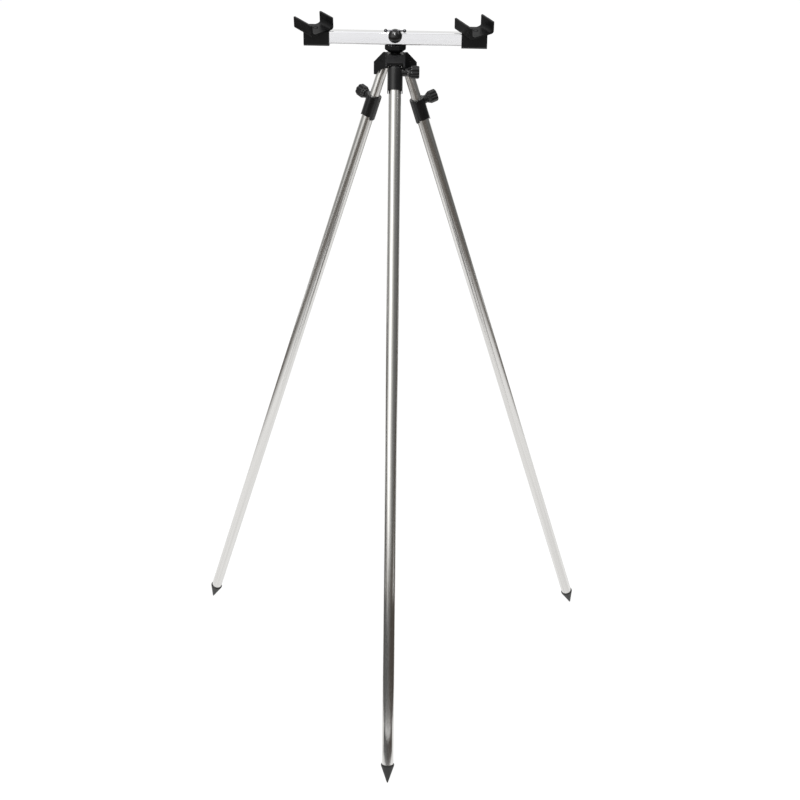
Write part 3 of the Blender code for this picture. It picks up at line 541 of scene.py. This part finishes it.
# Leg: pipes, spike, collar and knob are made anew; the plug inside only takes the black finish
def makeLeg(name):
    fold = joints[name + "_leg_fold"]
    slide = joints[name + "_leg_slide"]
    clamp = joints[name + "_clamp_turn"]
    drawnOut = -slide["range_m"][0]
    downward = Vector(slide["axis"])
    legPlace = placeOn(fold["pos_m"], fold["axis"], -downward)
    slidePlace = legPlace @ Matrix.Translation((0, 0, -drawnOut))
    s = tubeSizes
    outer = pipeProfile(s["outerRadius"], s["outerWall"], s["outerTop"], s["outerLength"], s["mouth"])
    inner = pipeProfile(s["innerRadius"], s["innerWall"], s["innerTop"], s["innerLength"], s["mouth"])
    fitPiece(turnedMesh(name + "Outer", outer, slidePlace, s["steps"]), name + "_outer_tube", "outer")
    fitPiece(turnedMesh(name + "Inner", inner, legPlace, s["steps"]), name + "_inner_tube", "inner")
    makeSpike(name, slidePlace)
    clampPlace = placeOn(clamp["pos_m"], downward.cross(Vector(clamp["axis"])), clamp["axis"])
    makeCollar(name, slidePlace, clampPlace, placeOn(slidePlace.translation, clamp["axis"], -downward))
    makeKnob(name, clampPlace)
    for part, (finish, edge) in legEdges.items():
        softenPiece(name + part, finish, edge * mm)
    plugMesh = frame["nodes"][name + "_inner_plug"].data
    plugMesh.materials.clear()
    plugMesh.materials.append(finishes["black"])


for legName in ("front", "right", "left"):
    makeLeg(legName)
    print("leg dressed:", legName)

for node, (finish, edge) in softEdges.items():
    softenPiece(node, finish, edge * mm)

barSizes = {"size": 25 * mm, "wall": 1.6 * mm, "corner": 2.5 * mm, "length": 362 * mm,
            "clampHole": 3.3 * mm, "clampReach": 40 * mm, "cupHole": 2.3 * mm, "cupReach": 20 * mm,
            "past": 2 * mm, "holeSteps": 48}


# The crossbar is a square tube with round corners, bored for the clamp screw and the cups' screws
def makeCrossbar():
    s = barSizes
    clampAxis = Vector(joints["bar_clamp_turn"]["axis"])
    swivels = [joints[side + "_cup_turn"] for side in ("left", "right")]
    along = (Vector(swivels[1]["pos_m"]) - Vector(swivels[0]["pos_m"])).normalized()
    upward = Vector(joints["head_swivel"]["axis"])
    corners = [Vector(corner) for corner in frame["nodes"]["crossbar"].bound_box]
    middle = sum(corners, Vector()) / len(corners)
    place = placeOn(middle, upward.cross(along), upward)  # local y runs along the bar
    half = s["length"] / 2
    mesh = prismMesh("crossbar", roundSquare(s["size"] / 2, s["corner"]), -half, half, place)
    hollow = roundSquare(s["size"] / 2 - s["wall"], s["corner"] - s["wall"])
    tools = [prismMesh("barHollow", hollow, -half - s["past"], half + s["past"], place)]
    bores = [(joints["bar_clamp_turn"]["pos_m"], clampAxis, s["clampHole"], s["clampReach"])]
    bores += [(joint["pos_m"], Vector(joint["axis"]), s["cupHole"], s["cupReach"]) for joint in swivels]
    for spot, axis, radius, reach in bores:
        borePlace = placeOn(spot, axis.orthogonal(), axis)
        tools.append(rodMesh("barBore", radius, -reach, reach, borePlace, s["holeSteps"]))
    flattenFaces(fitPiece(carved(mesh, "DIFFERENCE", *tools), "crossbar", "bar", "cut"))


# Heights of the head block are above the top of the hub's neck
blockSizes = {"width": 42.5 * mm, "depth": 37 * mm, "facet": 18 * mm, "foot": 22 * mm,
              "bottom": -4.0 * mm, "taper": 3.6 * mm, "top": 12.4 * mm, "round": 0.7 * mm,
              "boltHole": 4.3 * mm, "washerHole": 8.6 * mm, "washerSeat": 4.9 * mm, "neckHole": 10.1 * mm,
              "tongueHalf": 12 * mm, "tongueTip": 37.7 * mm, "tongueFront": 12.8 * mm,
              "tongueBack": 18 * mm, "tongueCorner": 6 * mm, "screwHole": 3.3 * mm, "past": 1 * mm,
              "holeSteps": 48, "cornerSteps": 8}


# Eight corners (+-facet / 2, +-depth / 2) and (+-width / 2, +-facet / 2 * depth / width) at one height
def eightSided(width, depth, facet, height):
    x, y = width / 2, depth / 2
    insetX, insetY = facet / 2, facet / 2 * depth / width
    return [(insetX, -y, height), (x, -insetY, height), (x, insetY, height), (insetX, y, height),
            (-insetX, y, height), (-x, insetY, height), (-x, -insetY, height), (-insetX, -y, height)]


# The head block is eight-sided and tapers to a foot over the hub's neck; its tongue stands behind the bar
def makeHeadBlock():
    s = blockSizes
    swivel = joints["head_swivel"]
    clamp = joints["bar_clamp_turn"]
    upward = Vector(swivel["axis"])
    place = placeOn(swivel["pos_m"], upward.cross(Vector(clamp["axis"])), upward)
    rings = [eightSided(s["foot"], s["foot"], s["foot"] * s["facet"] / s["width"], s["bottom"])]
    rings += [eightSided(s["width"], s["depth"], s["facet"], height) for height in (s["taper"], s["top"])]
    block = roundedMesh(loftMesh("block", rings, place), s["round"])
    outline = archOutline(s["tongueHalf"], s["top"] - s["past"], s["tongueTip"], s["tongueCorner"],
                          s["cornerSteps"])
    tongue = prismMesh("tongue", outline, s["tongueFront"], s["tongueBack"], place)
    bores = [(s["boltHole"], s["bottom"] - s["past"], s["top"]),
             (s["neckHole"], s["bottom"] - s["past"], 0),
             (s["washerHole"], s["washerSeat"], s["top"] + s["past"])]
    tools = [rodMesh("blockBore", *bore, place, s["holeSteps"]) for bore in bores]
    drillPlace = placeOn(clamp["pos_m"], upward, clamp["axis"])
    tools.append(rodMesh("blockDrill", s["screwHole"], -2 * s["tongueBack"], 0, drillPlace, s["holeSteps"]))
    mesh = carved(carved(block, "UNION", tongue), "DIFFERENCE", *tools)
    flattenFaces(fitPiece(mesh, "head_block", "black", "cut"))


# Depths of the bar's knob run along the clamp screw from the bar's middle
barKnobSizes = {"radius": 13.8 * mm, "hub": 9 * mm, "back": 12.8 * mm, "bandStart": 15.3 * mm,
                "bandEnd": 20.3 * mm, "chamfer": 1 * mm, "dome": 10.5 * mm, "domeSteps": 24,
                "edge": 0.8 * mm, "steps": 128, "screwHole": 3.3 * mm, "screwEnd": 21.6 * mm,
                "holeSteps": 48, "tommyHole": 1.8 * mm, "tommySteps": 32}
tommySizes = {"rod": 1.5 * mm, "half": 18.9 * mm, "ball": 3.5 * mm, "ballSteps": 14, "steps": 48}


# The tommy bar's middle, with z along the bar
def tommyPlace():
    slide = joints["tommy_slide"]
    low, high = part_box("tommy_bar")
    return placeOn((low + high) / 2, Vector(slide["axis"]).orthogonal(), slide["axis"])


# The bar's knob is a hub, a band and a dome with r = R cos a, h = band's end + dome's height * sin a
def makeBarKnob():
    s = barKnobSizes
    clamp = joints["bar_clamp_turn"]
    corners = [(0, s["back"]), (s["hub"], s["back"]), (s["hub"], s["bandStart"] - s["chamfer"]),
               (s["radius"], s["bandStart"]), (s["radius"], s["bandEnd"])]
    turn = np.radians(np.linspace(0, 90, s["domeSteps"] + 1))[1:]
    dome = np.stack([s["radius"] * np.cos(turn), s["bandEnd"] + s["dome"] * np.sin(turn)], axis=-1)
    dome[-1, 0] = 0.0
    profile = np.concatenate([easedProfile(corners, s["edge"]), dome])
    place = placeOn(clamp["pos_m"], Vector(clamp["axis"]).orthogonal(), clamp["axis"])
    knob = turnedMesh("barKnob", profile, place, s["steps"])
    bore = rodMesh("knobBore", s["screwHole"], 0, s["screwEnd"], place, s["holeSteps"])
    reach = 2 * s["radius"]
    crossBore = rodMesh("tommyBore", s["tommyHole"], -reach, reach, tommyPlace(), s["tommySteps"])
    mesh = carved(knob, "DIFFERENCE", bore, crossBore)
    flattenFaces(fitPiece(mesh, "bar_clamp_knob", "gloss", "cut"))


# The tommy bar is a thin rod between two balls: r = R cos a, h = half + R sin a, from the pole to the rod
def makeTommyBar():
    s = tommySizes
    turn = np.linspace(math.pi / 2, -math.acos(s["rod"] / s["ball"]), s["ballSteps"])
    upper = np.stack([s["ball"] * np.cos(turn), s["half"] + s["ball"] * np.sin(turn)], axis=-1)
    upper[0, 0] = 0.0
    lower = upper[::-1] * (1, -1)
    mesh = turnedMesh("tommy", np.concatenate([upper, lower]), tommyPlace(), s["steps"])
    # The tommy bar takes the steel whose dark tones are a painted reflection
    fitPiece(mesh, "tommy_bar", "steelWithPaintedReflection")


makeCrossbar()
makeHeadBlock()
makeBarKnob()
makeTommyBar()
print("head dressed")

# Studio: pale floor, white surround, soft lamps, and cards that only reflections see.
# The cards are what polished tube mirrors: a tall tent with a bright window at the front left, darker
# floor that starts a step away from the feet, and low dark boards beside the front leg.
# Each lamp has its place, its size and its power.
studio = {"worldLight": 0.62, "floorSize": 60.0, "floorPaint": 0.9, "shadow": 0.22, "floorGlow": 1.14,
          "mirroredFloor": 0.97, "lampAim": (0, 0, 1.1),
          "lamps": [((-1.7, -2.1, 4.2), 1.6, 62.0), ((2.6, -1.6, 3.6), 1.4, 12.0)]}
white = (1.0, 1.0, 1.0, 1.0)
wholeMap = (np.array([[0.0, 1.0]]), np.array([[0.0], [1.0]]))  # UV map of a single four-sided face
tentSizes = {"radius": 4.5, "foot": 0.36, "height": 5.0, "steps": 144, "rows": 9, "blueShare": 0.98,
             "stops": [(0.0, 0.80), (0.10, 0.80), (0.16, 0.36), (0.235, 0.30), (0.265, 0.38), (0.295, 0.58),
                       (0.32, 0.88), (0.36, 1.40), (0.40, 1.90), (0.44, 1.50), (0.475, 0.92), (0.50, 0.64),
                       (0.535, 0.40), (0.56, 0.27), (0.60, 0.20), (0.64, 0.16), (0.80, 0.13), (0.86, 0.20),
                       (0.92, 0.80), (1.0, 0.80)]}
ringSizes = {"centre": (0.3, 0.6), "half": (2.4, 1.75), "start": 0.78, "full": 1.30, "middle": 1.6,
             "reach": 2.3, "rim": 0.36, "rimAngles": (85.0, 205.0), "rimFade": 10.0, "lift": 0.002,
             "steps": 120, "near": (0.15, 0.135, 0.12), "far": (0.10, 0.09, 0.08)}
boardSizes = {"back": -0.10, "steps": 24, "backSteps": 8, "toneSpan": (0.1, 0.9),
              "rings": [(-0.66, 0.30, 0.32), (-0.39, 0.15, 0.065)],
              "left": (0.11, 0.11, 0.11), "right": (0.075, 0.064, 0.056)}
stripSizes = {"distance": 0.17, "turn": 10.0, "low": 15.0, "high": 55.0, "half": 4.0, "strength": 30.0}


# A card shows in mirror-like surfaces only, so it neither lights the object nor throws a shadow
def mirrorOnly(card):
    for kind in ("camera", "diffuse", "transmission", "volume_scatter", "shadow"):
        setattr(card, "visible_" + kind, False)


# A grid of points as an object with its own material
def gridObject(name, points, across, along, material):
    mesh = gridMesh(name, points, across, along)
    mesh.materials.append(material)
    card = bpy.data.objects.new(name, mesh)
    bpy.context.scene.collection.objects.link(card)
    return card


# The floor glows for the camera and for mirrors; a share of it stays painted, so shadows show on it
def makeFloor():
    s = studio
    half = s["floorSize"] / 2
    corners = np.array([[(-half, -half, 0), (half, -half, 0)], [(-half, half, 0), (half, half, 0)]], float)
    finish = Finish("paleFloor")
    seen, mirrored, through = finish.rayMasks()
    base = finish.add("ShaderNodeBsdfDiffuse", inputs={"Color": (*[s["floorPaint"]] * 3, 1.0)})
    glow = finish.glow(white, s["floorGlow"] - mirrored * (s["floorGlow"] - s["mirroredFloor"]))
    share = (seen + mirrored + through).limited() * (1.0 - s["shadow"])
    mixed = finish.add("ShaderNodeMixShader", inputs={0: share, 1: base, 2: glow})
    gridObject("floor", corners, *wholeMap, finish.ended(mixed))


# Light tent: x = -R sin a, y = R cos a, z from foot to height, with a from the back round by the left to
# the back again
def makeTent():
    s = tentSizes
    angle = np.linspace(0.0, 2 * math.pi, s["steps"] + 1)[None, :]
    rise = np.linspace(0.0, 1.0, s["rows"])[:, None]
    points = np.stack([-s["radius"] * np.sin(angle) + 0 * rise, s["radius"] * np.cos(angle) + 0 * rise,
                       s["foot"] + (s["height"] - s["foot"]) * rise + 0 * angle], axis=-1)
    finish = Finish("tentCloth")
    stops = [(place, (level, level, level * s["blueShare"])) for place, level in s["stops"]]
    tone = finish.add("ShaderNodeValToRGB", {"stops": stops}, {0: finish.mapped(0)})
    cloth = finish.ended(finish.glow(tone))
    mirrorOnly(gridObject("tent", points, angle / (2 * math.pi), rise, cloth))


# Dark floor: x = cx + r ax sin a, y = cy + r ay cos a, with r from the inner edge of the fade to the
# reach; its outer edge stands up as a low rim between two angles, in degrees from the back by the right
def makeRing():
    s = ringSizes
    angle = np.linspace(0.0, 2 * math.pi, s["steps"] + 1)[None, :]
    share = np.array([s["start"], 0.5 * (s["start"] + s["full"]), s["full"], s["middle"], s["reach"],
                      s["reach"]])[:, None]
    turn = np.degrees(angle)
    low, high = s["rimAngles"]
    rim = s["rim"] * np.clip((turn - low) / s["rimFade"], 0, 1) * np.clip((high - turn) / s["rimFade"], 0, 1)
    height = s["lift"] + np.array([[0], [0], [0], [0], [0], [1]]) * rim
    points = np.stack([s["centre"][0] + share * s["half"][0] * np.sin(angle),
                       s["centre"][1] + share * s["half"][1] * np.cos(angle), height + 0 * share], axis=-1)
    finish = Finish("ringCloth")
    where = finish.mapped(1)
    glow = finish.glow(finish.blend(where.ramp(s["full"], s["reach"]), s["near"], s["far"]))
    clear = finish.add("ShaderNodeBsdfTransparent")
    fade = where.ramp(s["start"], s["full"])
    cloth = finish.ended(finish.add("ShaderNodeMixShader", inputs={0: fade, 1: clear, 2: glow}))
    mirrorOnly(gridObject("ring", points, angle / (2 * math.pi), share, cloth))


# Dark boards: each path runs forward on the left of the front leg, round its foot and back on the right.
# Round the foot x = side sin a, y = foot - side cos a. The top edge of the wide one follows the leg, and
# round the foot both stay low.
def makeBoards():
    s = boardSizes
    finish = Finish("boardCloth")
    tone = finish.blend(finish.mapped(0).ramp(*s["toneSpan"]), s["left"], s["right"])
    cloth = finish.ended(finish.glow(tone))
    turn = np.linspace(-0.5 * math.pi, 0.5 * math.pi, s["steps"])
    rise = np.array([[0.0], [1.0]])
    fold = Vector(joints["front_leg_fold"]["pos_m"])
    down = Vector(joints["front_leg_slide"]["axis"])
    for number, (foot, side, low) in enumerate(s["rings"]):
        wide = number == 0
        arc = np.stack([side * np.sin(turn), foot - side * np.cos(turn)])
        if wide:
            forward = np.linspace(s["back"], foot, s["backSteps"])[:-1]
            left = np.stack([np.full(len(forward), -side), forward])
            arc = np.concatenate([left, arc, (left * [[-1], [1]])[:, ::-1]], axis=1)
        legHeight = fold.z + (arc[1] - fold.y) * down.z / down.y
        top = np.maximum(low, legHeight) if wide else np.full(arc.shape[1], low)
        points = np.stack([arc[0] + 0 * rise, arc[1] + 0 * rise, rise * top], axis=-1)
        across = (0.5 + 0.5 * arc[0] / side)[None, :]
        mirrorOnly(gridObject(f"boards{number}", points, across, rise, cloth))


# A small bright strip close before the bar's knob is what that knob mirrors; from the knob's tip its
# corners are x = -sin turn cos rise, y = -cos turn cos rise, z = sin rise, times the distance
def makeStrip():
    s = stripSizes
    clamp = joints["bar_clamp_turn"]
    tip = barKnobSizes["bandEnd"] + barKnobSizes["dome"]
    middle = Vector(clamp["pos_m"]) + tip * Vector(clamp["axis"])
    points = np.zeros((2, 2, 3))
    for row, rise in enumerate((s["low"], s["high"])):
        for column, side in enumerate((-s["half"], s["half"])):
            turn, lift = math.radians(s["turn"] + side), math.radians(rise)
            level = math.cos(lift)
            outward = Vector((-math.sin(turn) * level, -math.cos(turn) * level, math.sin(lift)))
            points[row, column] = middle + s["distance"] * outward
    finish = Finish("stripCloth")
    mirrorOnly(gridObject("strip", points, *wholeMap, finish.ended(finish.glow(white, s["strength"]))))


# The surround lights the object softly, and looks white to the camera and in mirrors
def makeWorld():
    world = bpy.data.worlds.new("studio")
    bpy.context.scene.world = world
    finish = Finish("studio", world)
    seen, mirrored, through = finish.rayMasks()
    shown = (seen + mirrored + through).limited()
    level = studio["worldLight"] + shown * (1.0 - studio["worldLight"])
    light = finish.add("ShaderNodeBackground", inputs={"Color": white, "Strength": level})
    finish.add("ShaderNodeOutputWorld", inputs={"Surface": light})


# A square lamp that faces the tripod's middle
def makeLamp(name, place, size, power):
    lamp = bpy.data.lights.new(name, "AREA")
    lamp.size = size
    lamp.energy = power
    holder = bpy.data.objects.new(name, lamp)
    holder.location = place
    toward = Vector(studio["lampAim"]) - Vector(place)
    holder.rotation_euler = toward.to_track_quat("-Z", "Y").to_euler()
    bpy.context.scene.collection.objects.link(holder)


makeFloor()
makeTent()
makeRing()
makeBoards()
makeStrip()
makeWorld()
for number, (place, size, power) in enumerate(studio["lamps"]):
    makeLamp(f"softLamp{number}", place, size, power)

# Camera: the photograph's own view of the tripod
cameraSettings = {"place": (0.00409, -2.9008, 1.83466), "turn": (69.0116, -1.0082, 0.2367), "lens": 63.0,
                  "sensor": 36.0}
camera = bpy.data.objects.new("camera", bpy.data.cameras.new("camera"))
camera.location = cameraSettings["place"]
camera.rotation_euler = [math.radians(angle) for angle in cameraSettings["turn"]]
camera.data.lens = cameraSettings["lens"]
camera.data.sensor_width = cameraSettings["sensor"]
bpy.context.scene.collection.objects.link(camera)
bpy.context.scene.camera = camera
bpy.context.scene.view_settings.view_transform = "Standard"
print("studio and camera ready")
